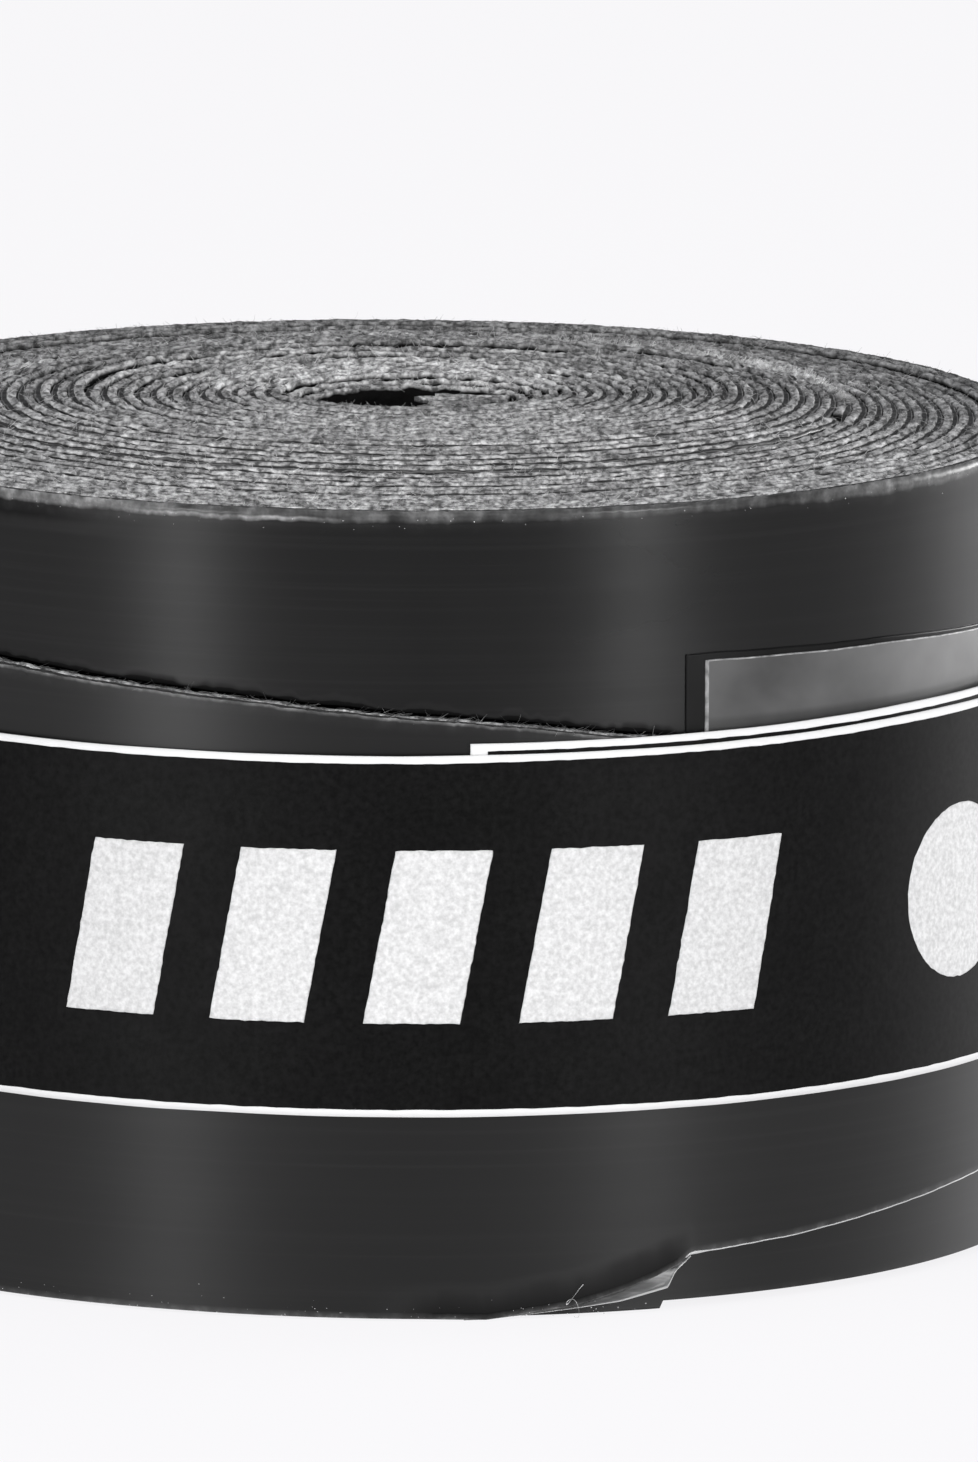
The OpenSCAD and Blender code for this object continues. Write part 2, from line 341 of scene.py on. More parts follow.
def adhesive_material():
    """Grey adhesive strip: a soft even sheen, a cloudy body with painted reflection and a pale cut edge.
    """
    s = Shader("tab_adhesive", Specular_IOR_Level=0.5)
    body = s.ramp(s.noise(190, 4, (1, 1, 1.2)), (0.30, 0.008), (0.7, 0.074))
    # painted reflection: a little paler above a line near its top, and towards its right end
    part = s.node("ShaderNodeSeparateXYZ")
    s.link(s.place, part, "Vector")
    height = s.node("ShaderNodeMapRange", From_Min=0.0220, From_Max=0.0222, To_Min=0.6, To_Max=1.0)
    s.link(part.outputs["Z"], height, "Value")
    across = s.node("ShaderNodeMapRange", From_Min=0.012, From_Max=0.021, To_Min=0.0, To_Max=0.046)
    s.link(part.outputs["X"], across, "Value")
    body = s.mix(1.0, body, across.outputs["Result"], "ADD")
    body = s.times(body, height.outputs["Result"])
    cut = s.ramp(s.noise(2400, 3), (0.35, 0.10), (0.65, 0.30))
    s.colour(s.mix(s.attribute("edge"), body, cut))
    s.rough(s.ramp(s.noise(260, 3), (0.3, 0.38), (0.7, 0.5)))
    s.bump((s.noise(320, 3), 0.35, 0.05), (s.noise(2600, 2), 0.2, 0.01))
    return s.material


def paper_material():
    """White stock of the band: clean at its cut edges, grainy where it shows through the print."""
    s = Shader("band_paper", Roughness=0.75, Specular_IOR_Level=0.3)
    fine = s.noise(5200, 3, rough=0.6)
    grain = s.ramp(fine, (0.32, 0.43), (0.5, 0.52), (0.68, 0.61))
    s.colour(s.mix(s.attribute("edge"), grain, 0.66))
    s.bump((fine, 0.35, 0.012))
    return s.material


def print_material():
    """Matte black ink on paper: a fine grain, faint mottle and a very broad sheen."""
    s = Shader("band_print", Specular_IOR_Level=0.07)
    fine = s.noise(4200, 3, rough=0.6)
    mottle = s.ramp(s.noise(500, 3), (0.3, 0.85), (0.7, 1.15))
    s.colour(s.times(s.ramp(fine, (0.3, 0.0006), (0.7, 0.0046)), mottle))
    s.rough(s.ramp(s.noise(700, 3), (0.3, 0.44), (0.7, 0.52)))
    s.bump((fine, 0.25, 0.010))
    return s.material


# ---- the wound tape
def spiral(turn):
    """Base point and outward direction of the strip's inner face, for an array of turn counts."""
    half = np.floor(2 * turn + 1e-9)  # the margin keeps whole halves on their own side
    odd = half % 2
    radius = EYE + np.floor(half / 2) * PITCH + odd * PITCH / 2
    angle = math.tau * turn
    out = np.stack([np.cos(angle), np.sin(angle)], -1)
    base = out * radius[..., None]
    base[..., 0] += odd * PITCH / 2
    return base, out


SETTLED = 20.5  # turns inside this radius have moved
EYE_SHIFT = (0.72, 0.91)  # how far the innermost turn has moved to +X and to +Y
EYE_SQUASH = 0.27  # how much shorter it has become from front to back
PLAN_SWAY = 0.05  # waviness of the turns in plan


def reach_and_forward(xy):
    """Distance from the origin, and how far forward a place lies: 1 in front, -1 at the back."""
    reach = np.hypot(xy[..., 0], xy[..., 1])
    return reach, -xy[..., 1] / np.maximum(reach, 1e-6)


def settle(xy):
    """Pushes the inner turns off centre and flattens them, as they lie in a roll wound by hand."""
    reach, _ = reach_and_forward(xy)
    near = np.clip((SETTLED - reach) / (SETTLED - EYE), 0, 1)
    sway = PLAN_SWAY * smooth((RIM - 1.0 - reach) / 6)
    angle = np.arctan2(xy[..., 1], xy[..., 0])
    moved = xy.copy()
    moved[..., 1] *= 1 - EYE_SQUASH * near ** 1.5
    moved[..., 0] += EYE_SHIFT[0] * near + sway * np.sin(3 * angle + 0.4 * reach)
    moved[..., 1] += EYE_SHIFT[1] * near + sway * np.sin(2 * angle - 0.3 * reach)
    return moved + CENTRE


def front_degrees(turn):
    """Degrees to the right of the front, for places on the outer turn and the one under it."""
    return (turn - TURNS - 0.75) * 360


# heights of the outer turn's two edges, by degrees to the right of the front
UPPER_EDGE = [
    (-270, 30.0), (-200, 28.6), (-90, 25.0), (-38.4, 23.87), (-23.4, 23.43), (-14.6, 23.17),
    (-4.3, 22.81), (9.0, 22.33), (21.5, 21.67), (27, 21.4), (50, 20.6), (90, 20.0), (125, 16.8)]
LOWER_EDGE = [
    (-70, 0.12), (-20, 0.10), (2.0, 0.05), (7.5, 0.0), (15.4, 0.44), (19.5, 0.88), (22.8, 1.36),
    (24.8, 1.72), (26.1, 2.14), (37, 2.44), (55, 3.16), (66, 3.58), (90, 4.1), (125, 8.1)]
HEM_END = 23.9  # where the film of the turn under the outer one is torn off below the tape

# by distance from the origin
DOME = [
    (10.6, 0.72), (10.9, 0.78), (11.9, 0.74), (12.3, 0.84), (14.7, 0.64), (16.35, 0.47),
    (16.75, 0.31), (18.5, 0.17), (20.5, 0.03), (24.6, 0.0)]
BACK_STEPS = [
    (11.9, 0), (12.2, 0.07), (14.0, 0), (14.1, 0), (14.4, 0.10), (16.2, 0), (20.8, 0), (21.2, -0.08),
    (21.8, -0.08), (22.2, 0.04)]
# painted light and shade on the felt's top at the back: darker on the back rim and over the steps,
# lighter behind the eye
BACK_PAINTED_LIGHT = [
    (8, 1.15), (9.2, 0.95), (10.6, 0.67), (11.6, 0.95), (12.4, 0.66), (15.8, 0.66),
    (16.5, 1.07), (17.6, 1.07), (18.6, 0.77), (20.5, 0.59), (22, 0.52), (24.6, 0.50)]
# painted light on the felt's top, in front and at the sides
FRONT_PAINTED_LIGHT = 0.88
SIDE_PAINTED_LIGHT = 0.79
NOTCH = (16.2, -2.5)  # place of the pit
NOTCH_SIZE = (0.22, 0.60)

turn_sway = ripple(11, 60, 0.30, 2.4)
long_wave = ripple(12, 40, 2.5, 14.0)
short_wave = ripple(14, 80, 0.40, 2.0)
edge_wave = ripple(13, 24, 0.008, 0.09)


def along(turn):
    """Length of tape, in millimetres, from the eye to a place on it."""
    return math.tau * (EYE * turn + PITCH * turn ** 2 / 2)


def notch(xy):
    """A small pit where two turns have come apart, near the right end of the dome's foot."""
    across, deep = ((xy[..., k] - NOTCH[k]) / NOTCH_SIZE[k] for k in (0, 1))
    return np.exp(-across ** 2 - deep ** 2)


def dome(turn, xy):
    """Height of the turns over the rim: a low dome with a small step where its foot starts."""
    reach, forward = reach_and_forward(xy)
    lower_left = 0.16 * smooth((-xy[..., 0]) / 14) * smooth((16 - reach) / 8)
    free = 0.25 + 0.75 * smooth((RIM - 0.9 - reach) / 2)
    loose = 0.044 * turn_sway(turn) + 0.022 * long_wave(along(turn)) + 0.030 * short_wave(along(turn))
    sunk = 0.20 * smooth((1.02 - turn) / 0.1) + 0.10 * smooth((2.0 - turn) / 0.3)
    swing = 1 - 0.4 * smooth(forward / 0.5) + 0.5 * smooth((-forward - 0.1) / 0.4) * (reach < 20)
    steps = table(reach, BACK_STEPS) * smooth((0.15 - forward) / 0.35)
    return table(reach, DOME) - lower_left + loose * free * swing - sunk - 0.30 * notch(xy) + steps


def tone_of(xy):
    """Painted light and shade of the felt: light in front and behind the eye, darker at the sides and
    the back rim.
    """
    reach, forward = reach_and_forward(xy)
    side = SIDE_PAINTED_LIGHT - 0.16 * smooth(xy[..., 0] / 5)
    back = table(reach, BACK_PAINTED_LIGHT) - 0.18 * smooth((xy[..., 0] - 2) / 5) * smooth((12 - reach) / 4)
    level = (side + (FRONT_PAINTED_LIGHT - side) * smooth(forward / 0.5)
             + (back - side) * smooth((-forward - 0.08) / 0.35))
    tail = 1 - 0.28 * smooth((5.2 - reach) / 2)
    # painted shade down in the pit
    pit = 1 - 0.97 * np.minimum(3.5 * notch(xy), 1)
    return tail * pit * level


def top_height(turn, xy):
    """Height of the tape's upper edge."""
    outer = table(front_degrees(turn), UPPER_EDGE)
    return np.where(turn < TURNS, WIDTH + LIFT + dome(turn, xy), outer + 0.03 * edge_wave(turn))


def bottom_height(turn):
    """Height of the tape's lower edge. The turn under the outer one hangs lower, up to its hem's end."""
    degrees = front_degrees(turn)
    below = degrees + 360
    hem = (below < HEM_END) * smooth((below + 150) / 60)
    inner = np.where(turn > LAST_UNDER, LIFT * (1 - 0.95 * hem), LIFT)
    return np.where(turn < TURNS, inner, table(degrees, LOWER_EDGE))


def travelled(points, longest=math.inf):
    """Length along a row of plan points, in which no step counts for more than longest."""
    steps = np.minimum(np.hypot(*np.diff(points, axis=0).T), longest)
    return np.concatenate([[0], np.cumsum(steps)])


def tail_path():
    """Centre line of the strip's folded inner end, from its free end to the start of the spiral."""
    def arc(cx, cy, radius, first, last):  # from one angle to another
        angle = np.radians(np.linspace(first, last, max(8, int(abs(last - first) / 6))))
        return np.stack([cx + radius * np.cos(angle), cy + radius * np.sin(angle)], -1)

    bend = 2.75
    centre = EYE - bend
    tight, loose = 0.06, FILM + 0.05  # half gaps between felt sides and between film sides
    parts = [np.array([[centre - 0.05, -bend]]), arc(centre, 0, bend, -90, 0)]
    level = -bend
    for left, right in ((0.55, 2.00), (0.75, 2.86), (0.35, 2.90)):  # the ends of each fold
        parts.insert(0, np.array([[right, level + 2 * tight], [left, level + 2 * tight]]))
        parts.insert(1, arc(left, level + tight, tight, 90, 270))
        above = level + 2 * tight + 2 * loose
        parts.insert(0, np.array([[left + 0.4, above]]))
        parts.insert(1, arc(right, level + 2 * tight + loose, loose, 90, -90))
        level = above
    path = np.vstack(parts)
    step = np.hypot(*np.diff(path, axis=0).T)
    path = path[np.concatenate([[True], step > 1e-4])]
    length = travelled(path)
    even = np.linspace(0, length[-1], int(length[-1] / 0.12))
    path = np.stack([np.interp(even, length, path[:, k]) for k in (0, 1)], -1)
    ahead = np.gradient(path, axis=0)
    ahead /= np.hypot(*ahead.T)[:, None]
    return path, np.stack([ahead[:, 1], -ahead[:, 0]], -1)


def strip_sections(step, first, last):
    """Turn counts, base points and outward directions at an even spacing along the tape."""
    fine = np.linspace(first, last, 60000)
    length = travelled(spiral(fine)[0], 0.5)
    turn = np.append(np.interp(np.arange(0, length[-1], step), length, fine), last)
    base, out = spiral(turn)
    if first == 0.0:
        path, normal = tail_path()
        turn = np.concatenate([np.linspace(-0.3, -1e-3, len(path)), turn])
        base, out = np.vstack([path, base]), np.vstack([normal, out])
    return turn, base, out


def wound_layer(step, first, last, depths, rim_drop, top_drop, bottom_rise, grain, seed):
    """One layer of part of the strip. depths are the columns across its top edge, inner to outer;
    top_drop and, at the rim, rim_drop say how far each column stays below the tape's top. grain is the
    unevenness of the cut. Gives the rows and the vertex values."""
    turn, base, out = strip_sections(step, first, last)
    draw = default_rng(seed)
    count = len(turn)
    middle = settle(base + out * (FELT / 2))
    top = top_height(turn, middle)
    foot = bottom_height(turn) + bottom_rise
    noise = draw.normal(0, 1, (count, len(depths)))
    noise = 0.5 * noise + 0.25 * (np.roll(noise, 1, 0) + np.roll(noise, -1, 0))
    drops = np.where(turn[:, None] > LAST_UNDER, rim_drop, top_drop)
    if len(depths) == 2:  # the grooves round the eye are deeper
        drops = drops + 0.30 * smooth((2.1 - turn) / 0.2)[:, None]
    # a row a little way down each wall keeps the edge's colour off the wall, which is painted nearly
    # black as the shade between the turns
    wall_in = [(depths[0], foot), (depths[0], top - drops[:, 0] - 0.16)]
    wall_out = [(depths[-1], top - drops[:, -1] - 0.16), (depths[-1], foot)]
    edge = [(d, top - drops[:, k] + grain * noise[:, k]) for k, d in enumerate(depths)]
    levels = wall_in + edge + wall_out
    sideways = draw.normal(0, 0.3 * grain, (count, len(levels)))
    if len(depths) > 2:
        # in front the felt is smeared over the cut edge of the face, except in short stretches
        _, forward = reach_and_forward(middle)
        smeared = np.clip(0.75 + 0.8 * ripple(15, 60, 1.0, 9.0)(along(np.maximum(turn, 0))), 0, 1)
        smeared *= 0.16 * smooth(forward / 0.45) * (turn < LAST_UNDER)
        sideways[:, 1 + len(edge)] += smeared
    sideways[:, [0, 1, -2, -1]] = 0  # the walls stay straight
    rows = [(settle(base + out * (depth + sideways[:, k:k + 1])), height)
            for k, (depth, height) in enumerate(levels)]
    # painted shade: the walls between the turns are marked for the felt's nearly black shade
    painted_wall_shade = np.zeros((count, len(levels)))
    painted_wall_shade[:, [0, 1, -2, -1]] = 1
    return rows, {"depth": painted_wall_shade, "tone": np.repeat(tone_of(middle)[:, None], len(levels), 1)}


felt_cut = felt_material()
fibres_look = fibre_material()
# the tacky layer shows only as the thin dark line between the felt and the film
face_look = plain_material("grip_face", ((0.3, 0.006), (0.7, 0.02)), (5000, 2), (7000, 2, 0.5, 0.03),
                           Roughness=0.6, Specular_IOR_Level=0.3)
crumb_look = plain_material("crumb", ((0.35, 0.12), (0.65, 0.62)), (3000, 1), None, Roughness=0.8)
glue_look = plain_material("band_glue", ((0.3, (0.30, 0.27, 0.18)), (0.7, (0.5, 0.46, 0.34))), (1500, 3),
                           (2000, 3, 0.3, 0.01), Roughness=0.5)
CORE = 20  # the felt is made in two meshes that meet at this turn
FELT_COLUMNS = [0.0, 0.07, 0.17, 0.27, FELT]
FELT_DROPS = [0.04, 0.0, 0.0, 0.0, 0.04]
for name, first, last, seed in (("felt_core", 0.0, CORE, 21), ("felt_rim", CORE, TIP, 22)):
    rows, shade = wound_layer(0.18, first, last, FELT_COLUMNS, FELT_DROPS, FELT_DROPS, 0.0, 0.032, seed)
    finish_piece(tube(name, rows, (7, 8), **shade), felt_cut, "roll", "felt", "felt_backing")

rows, _ = wound_layer(0.25, 0.0, TIP, [FELT, FACE], [0.03, 0.03], [0.07, 0.09], 0.02, 0.012, 23)
face = tube("grip_face_winding", rows, (1, 2, 3, 5))
finish_piece(face, face_look, "roll", "grip_face", "grip_face")

film_looks = [film_material("cover_film", 0.24), film_material("film_half_shade", 0.12),
              film_material("film_shade", 0.0)]


def film_core():
    """The film of the inner turns, of which only the cut edge shows."""
    turn, base, out = strip_sections(0.32, 0.0, LAST_UNDER)
    draw = default_rng(20260717)
    top = top_height(turn, settle(base + out * (FELT / 2))) - 0.11 + 0.02 * draw.normal(0, 1, len(turn))
    top = top - 0.25 * smooth((2.1 - turn) / 0.2)
    bottom = LIFT + 0.01
    levels = [(FACE, bottom, 0), (FACE, top, 0.5), (FILM, top, 0.5), (FILM, top - 0.1, 0),
              (FILM, bottom, 0)]
    rows = [(settle(base + out * depth), height) for depth, height, _ in levels]
    edge = np.tile([mark for _, _, mark in levels], (len(turn), 1))
    return tube("film_core", rows, (1, 4), edge=edge, gloss=edge * 0, contact=edge * 0)


# the film's pale margin at the rim, by degrees to the right of the front: its height and its paleness.
# Past about 44 degrees the margin's extra width and paleness are partly a painted highlight
MARGIN_HEIGHT = [
    (-60, 0.26), (-40, 0.33), (-25, 0.36), (-18, 0.39), (0, 0.38), (20, 0.35), (34, 0.33), (50, 0.48),
    (90, 0.5)]
MARGIN_PALE = [
    (-60, 0.72), (-27, 0.78), (-21, 0.31), (3, 0.30), (12, 0.22), (34, 0.21), (44, 0.46), (60, 0.38),
    (90, 0.3)]
HALF_SHADE_ROWS, FULL_SHADE_ROW = (9, 14), 10  # rows of the outer film's wall that get darker looks
LOWER_WALL = 12  # the row where the shade of the next turn out ends


def film_outside():
    """The film's outer two turns: its margin at the rim, and the painted shade over the outer turn's
    edge and above the loose film.
    """
    turn, base, out = strip_sections(0.14, LAST_UNDER, TIP)
    middle = settle(base + out * (FELT / 2))
    uneven = default_rng(31).normal(0, 1, (len(turn), 3))[:, 0]
    under = turn < TURNS
    degrees = front_degrees(turn) + np.where(under, 360, 0)
    wave = np.clip(ripple(32, 30, 0.4, 4.0)(along(turn)), -1, 1)
    fine = ripple(33, 60, 0.25, 0.9)(along(turn))
    top = top_height(turn, middle) - np.where(under, 0.035, 0.07) + 0.012 * uneven
    margin = np.where(under, table(degrees, MARGIN_HEIGHT) * (1 + 0.10 * wave), 0.03)
    pale = np.clip(table(degrees, MARGIN_PALE) * (1 + 0.12 * wave + 0.06 * fine), 0.05, 1)
    pale = np.where(under, pale, 0.5)
    # painted shade on the wall below the margin on the left side
    left_painted_shade = np.where(under, smooth((-23 - degrees) / 14) * smooth((degrees + 75) / 20), 0.0)
    line = np.where(under, smooth((degrees + 27) / 3) * smooth((-3 - degrees) / 6), 0.0)
    # the painted shade lies over the edge of the next turn out, or on the wall's middle where there is
    # none
    covered = under & (turn > TURNS - 0.9)
    shade_low = np.where(covered, top_height(turn + 1, middle) - 0.25, 12.0)
    shade_low = np.minimum(shade_low, top - 1.4)
    shade = np.where(covered, 1.0, 0.0) * smooth((TURNS - 0.05 - turn) / 0.1)
    reach = 0.12 * (1 + 0.5 * wave)
    bottom = bottom_height(turn) + 0.01
    # painted shadow on the wall just above the loose film
    low_shade = np.where(under, 0.0, smooth((degrees + 4) / 8) * smooth((27 - degrees) / 3))
    hem = 0.05 * (1 + 0.5 * wave)
    hem_edge = np.where(under, 0.02, 0.25 * pale)
    zero, one = np.zeros(len(turn)), np.ones(len(turn))
    # height, paleness and painted contact shade of each row, from the inner foot over the top to the
    # outer foot
    levels = [(bottom, 0.3 * one, zero), (top, one, zero), (top, pale, zero),
              (top - 0.65 * margin, 0.7 * pale, zero),
              (top - 0.85 * margin, np.maximum(0.7 * pale, 0.9 * line), zero),
              (top - margin - 0.10, 0.05 * pale, left_painted_shade), (top - margin - 0.5, zero, 0.9 * left_painted_shade),
              (top - margin - 1.1, zero, zero), (shade_low + 0.37 + 3 * reach, zero, zero),
              (shade_low + 0.37 + reach, zero, 0.6 * shade), (shade_low + 0.37, zero, shade),
              (shade_low, zero, shade), (bottom + 1.5, zero, zero),
              (bottom + 0.65 + 2 * reach, zero, 0.6 * low_shade), (bottom + 0.25, zero, low_shade),
              (bottom + hem, hem_edge, low_shade), (bottom, 3 * hem_edge, zero)]
    heights, edge, contact = (np.stack(column, 1) for column in zip(*levels))
    heights[:, 2:] = np.minimum.accumulate(heights[:, 2:], axis=1)
    depths = [FACE] * 2 + [FILM] * (len(levels) - 2)
    rows = [(settle(base + out * depth), height) for depth, height in zip(depths, heights.T)]
    gloss = np.repeat(smooth((turn - TURNS + 0.02) / 0.2)[:, None], len(levels), 1)
    low_gloss = under * smooth((degrees - 12) / 8)
    gloss[:, LOWER_WALL:] = np.maximum(gloss[:, LOWER_WALL:], low_gloss[:, None])
    obj = tube("film_outside", rows, (1, len(levels) - 1), edge=edge, gloss=gloss, contact=contact)
    # the shaded parts of the wall also lose their gloss
    index = np.zeros((len(turn), len(levels)), int)
    index[shade > 0.5, HALF_SHADE_ROWS[0]] = 1
    index[shade > 0.5, FULL_SHADE_ROW] = 2
    index[low_shade > 0.9, HALF_SHADE_ROWS[1]] = 1
    faces = np.zeros(len(obj.data.polygons), int)
    faces[:(len(turn) - 1) * len(levels)] = index[:-1].ravel()
    return obj, faces


finish_piece(film_core(), film_looks[0], "roll", "film", "cover_film")
outside, face_looks = film_outside()
for look in film_looks[:-1]:
    outside.data.materials.append(look)
finish_piece(outside, film_looks[-1], "roll", "film", "cover_film")
outside.data.polygons.foreach_set("material_index", face_looks)


# ---- loose fibres
def fibres(name, roots, heading, climb, length, radius, curl, seed, tone):
    """Fine bent hairs as thin three-sided tubes, in one mesh. heading and climb are in radians, and
    curl is the share of its length by which a hair's end is bent aside."""
    draw = default_rng(seed)
    count, rows = len(roots), 4
    tones = np.clip(np.broadcast_to(tone, count), 0, 1.1)
    level = np.cos(climb)
    ahead = np.stack([np.cos(heading) * level, np.sin(heading) * level, np.sin(climb)], -1)
    side = draw.normal(0, 1, (count, 3))
    side -= ahead * (side * ahead).sum(1, keepdims=True)
    side /= np.linalg.norm(side, axis=1, keepdims=True)
    up = np.cross(ahead, side)
    share = np.linspace(0, 1, rows)
    spine = (roots[:, None] + ahead[:, None] * (length[:, None] * share)[..., None]
             + side[:, None] * (curl[:, None] * length[:, None] * share ** 2)[..., None])
    verts = np.empty((count, rows, 3, 3))
    for corner in range(3):
        angle = math.tau * corner / 3
        ring = side * math.cos(angle) + up * math.sin(angle)
        taper = radius[:, None] * (1 - 0.6 * share)
        verts[:, :, corner] = spine + ring[:, None] * taper[..., None]
    quads, caps = tube_faces(rows, 3)
    shift = (np.arange(count) * rows * 3)[:, None, None]
    return build(name, verts.reshape(-1, 3), (quads[None] + shift).reshape(-1, 4),
                 (caps[None] + shift).reshape(-1, 3), tone=np.repeat(tones, rows * 3))


def points_on_edge(turn, depth, rise):
    """Places on the tape's top edge, and the outward directions there."""
    base, out = spiral(turn)
    middle = settle(base + out * (FELT / 2))
    return rise_on(settle(base + out * depth[:, None]), top_height(turn, middle) + rise), out


def edge_fibres(name, count, first, last, seed, low=0.12, high=0.42, outward=0.0, climb=(-5, 40)):
    """Hairs on the top edge from turn first to turn last, low to high long. outward is the spread of
    their headings round the outward direction, or 0 for any heading, and climb is in degrees."""
    draw = default_rng(seed)
    # turns further out are longer, so they get more hairs
    hole = EYE / PITCH  # the eye's radius as a number of turns
    turn = np.sqrt(draw.uniform((first + hole) ** 2, (last + hole) ** 2, count)) - hole
    depth = draw.uniform(0.0, FELT, count)
    roots, out = points_on_edge(turn, depth, draw.uniform(-0.05, 0.0, count))
    heading = draw.uniform(0, math.tau, count)
    if outward:
        heading = np.arctan2(out[:, 1], out[:, 0]) + draw.normal(0, outward, count)
    return fibres(name, roots, heading, np.radians(draw.uniform(*climb, count)),
                  draw.uniform(low, high, count), draw.uniform(0.006, 0.011, count),
                  draw.normal(0, 0.45, count), seed + 1, tone_of(roots))


def tangled_edge(name, count, first, last, seed):
    """Fibres lying mostly along the outer turn's cut edge, some of them standing up."""
    draw = default_rng(seed)
    turn = draw.uniform(first, last, count)
    roots, out = points_on_edge(turn, draw.uniform(0.05, FELT + 0.12, count),
                                draw.uniform(-0.14, 0.06, count))
    lengthwise = np.arctan2(out[:, 0], -out[:, 1]) + np.where(draw.random(count) < 0.5, math.pi, 0)
    heading = lengthwise + draw.normal(0, 0.35, count)
    rise = np.abs(draw.normal(0, 5, count)) * np.where(draw.random(count) < 0.02, 7.0, 1)
    return fibres(name, roots, heading, np.radians(np.minimum(rise, 75)),
                  draw.uniform(0.15, 0.50, count), draw.uniform(0.006, 0.012, count),
                  draw.normal(0, 0.35, count), seed + 1, draw.uniform(0.08, 0.38, count))


for piece in (edge_fibres("felt_fibres", 9900, 0.0, TURNS, 41),
              edge_fibres("rim_fibres", 1700, LAST_UNDER, TURNS, 43, 0.08, 0.24, 0.9, (-35, 30)),
              edge_fibres("step_fuzz", 1900, 21.005, 21.19, 47, 0.12, 0.42, 0.7, (-20, 65)),
              edge_fibres("eye_fuzz", 500, 0.0, 1.3, 49, 0.10, 0.35, 0.0, (-30, 50)),
              tangled_edge("outer_edge_fibres", 4200, TURNS + 0.28, TURNS + 0.93, 45)):
    finish_piece(piece, fibres_look, "roll", "felt")


# ---- plates that lie round the roll
def plate(name, inner, outer, low, high, lip, fade, ends):
    """A thin sheet between two rows of plan points, from the heights low to the heights high. The
    strip as wide as lip along both its edges, ending at fade, is marked as edge, and so are the rows
    that ends names."""
    levels = [(inner, low, 1), (inner, high, 1), (outer, high, 1), (outer, high - lip, 1),
              (outer, high - fade, 0), (outer, low + fade, 0), (outer, low + lip, 1), (outer, low, 1)]
    edge = np.tile([mark for _, _, mark in levels], (len(high), 1))
    edge[ends] = 1
    return tube(name, [level[:2] for level in levels], (1, 7, 0), edge=edge)


def with_ends(first, last, step, lip_degrees):
    """Evenly spaced angles with two close together at each end, for a plate's end margins."""
    between = np.linspace(first + 1.2 * lip_degrees, last - 1.2 * lip_degrees,
                          max(3, int((last - first) / step)))
    return np.concatenate([[first, first + lip_degrees], between, [last - lip_degrees, last]])


def tab_radius(degrees):
    """The tab lies on the turn under the outer one, which is a little larger past the right side."""
    return RIM + 0.01 + np.where(degrees > 360, PITCH / 2 * (1 - np.cos(np.radians(degrees))), 0.0)


# by angle: the adhesive strip's upper edge, and how far the liner shows above it
TAB_TOP = [(298, 24.32), (308, 24.27), (318, 24.19), (335, 23.88), (391, 23.1)]
LINER_ABOVE = [(296, 0.28), (320, 0.20), (345, 0.10)]


def tab_layer(name, degrees, lift, thickness, bottom, above, lip):
    """One layer of the starter tab, lift above the tape's face, with lip as its cut edge's width."""
    radius = tab_radius(degrees) + lift
    high = table(degrees, TAB_TOP) + 0.012 * ripple(52, 10, 2, 20)(degrees) + above
    return plate(name, around(degrees, radius), around(degrees, radius + thickness), bottom, high,
                 lip, 1.15 * lip, [0, 1, -2, -1])


degrees = with_ends(295.9, 392.0, 1.0, 0.2)
liner = tab_layer("tab_liner", degrees, 0.0, 0.04, 9.5, table(degrees, LINER_ABOVE), 0.08)
finish_piece(liner, liner_material(), "roll", "liner", "starter_liner")

degrees = with_ends(297.8, 391.0, 1.0, 0.30)
lift = 0.055 + 0.012 * ripple(53, 8, 6, 40)(degrees)
strip_tab = tab_layer("tab_adhesive", degrees, lift, 0.06, 10.3, 0.0, 0.05)
finish_piece(strip_tab, adhesive_material(), "roll", "adhesive", "starter_adhesive")


# ---- loose film at the lower right
# how far right of the front the loose film's two edges reach, by the share of its length
LOOSE_UPPER = [(0, 5.5), (0.9, 24.0), (0.95, 25.1), (1, 26.3)]
LOOSE_LOWER = [(0, 5.5), (0.9, 23.9), (0.95, 24.6), (1, 26.1)]
LOOSE_FOOT = [
    (5.5, 0), (7.5, 0.02), (15.4, 0.34), (19.5, 0.50), (23.9, 0.90), (24.6, 1.50), (26.1, 2.02)]


def loose_film():
    """The film that has come away below the outer turn's edge, bent outward to a bright lip."""
    rows, columns = 70, 9
    share = np.linspace(0, 1, rows)
    upper, lower = table(share, LOOSE_UPPER), table(share, LOOSE_LOWER)
    upper_z, lower_z = table(upper, LOWER_EDGE) + 0.06, table(lower, LOOSE_FOOT)
    crease = ripple(61, 9, 0.12, 0.5)
    down = np.linspace(0, 1, columns)
    strip = []
    for v, side in [(v, 0.0) for v in down] + [(v, 0.05) for v in down[::-1]]:
        degrees = upper + (lower - upper) * v + FRONT
        # it leans out to the outer turn's face but not past it, so that the band can slide over it
        flare = OUTSIDE - 0.05 - (0.30 * (1 - v) - 0.02 * crease(share + v)) * smooth(share * 2.4) + side
        strip.append((around(degrees, flare), upper_z + (lower_z - upper_z) * v))
    edge = np.zeros((rows, 2 * columns))
    edge[:, [0, columns - 1, columns, -1]] = 1
    edge[-1] = 1
    return tube("loose_film", strip, edge=edge)


finish_piece(loose_film(), lip_material(), "roll", "film")


def round_line(name, degrees, reach, height, aside, rise, corners, **values):
    """A closed tube along a line on the roll. aside and rise are its half width and half height."""
    rows = [(around(degrees + FRONT, reach + aside * np.cos(a)), height + rise * np.sin(a))
            for a in math.tau * np.arange(corners) / corners]
    whole = np.ones(len(degrees) * corners)
    return tube(name, rows, **{key: value * whole for key, value in values.items()})


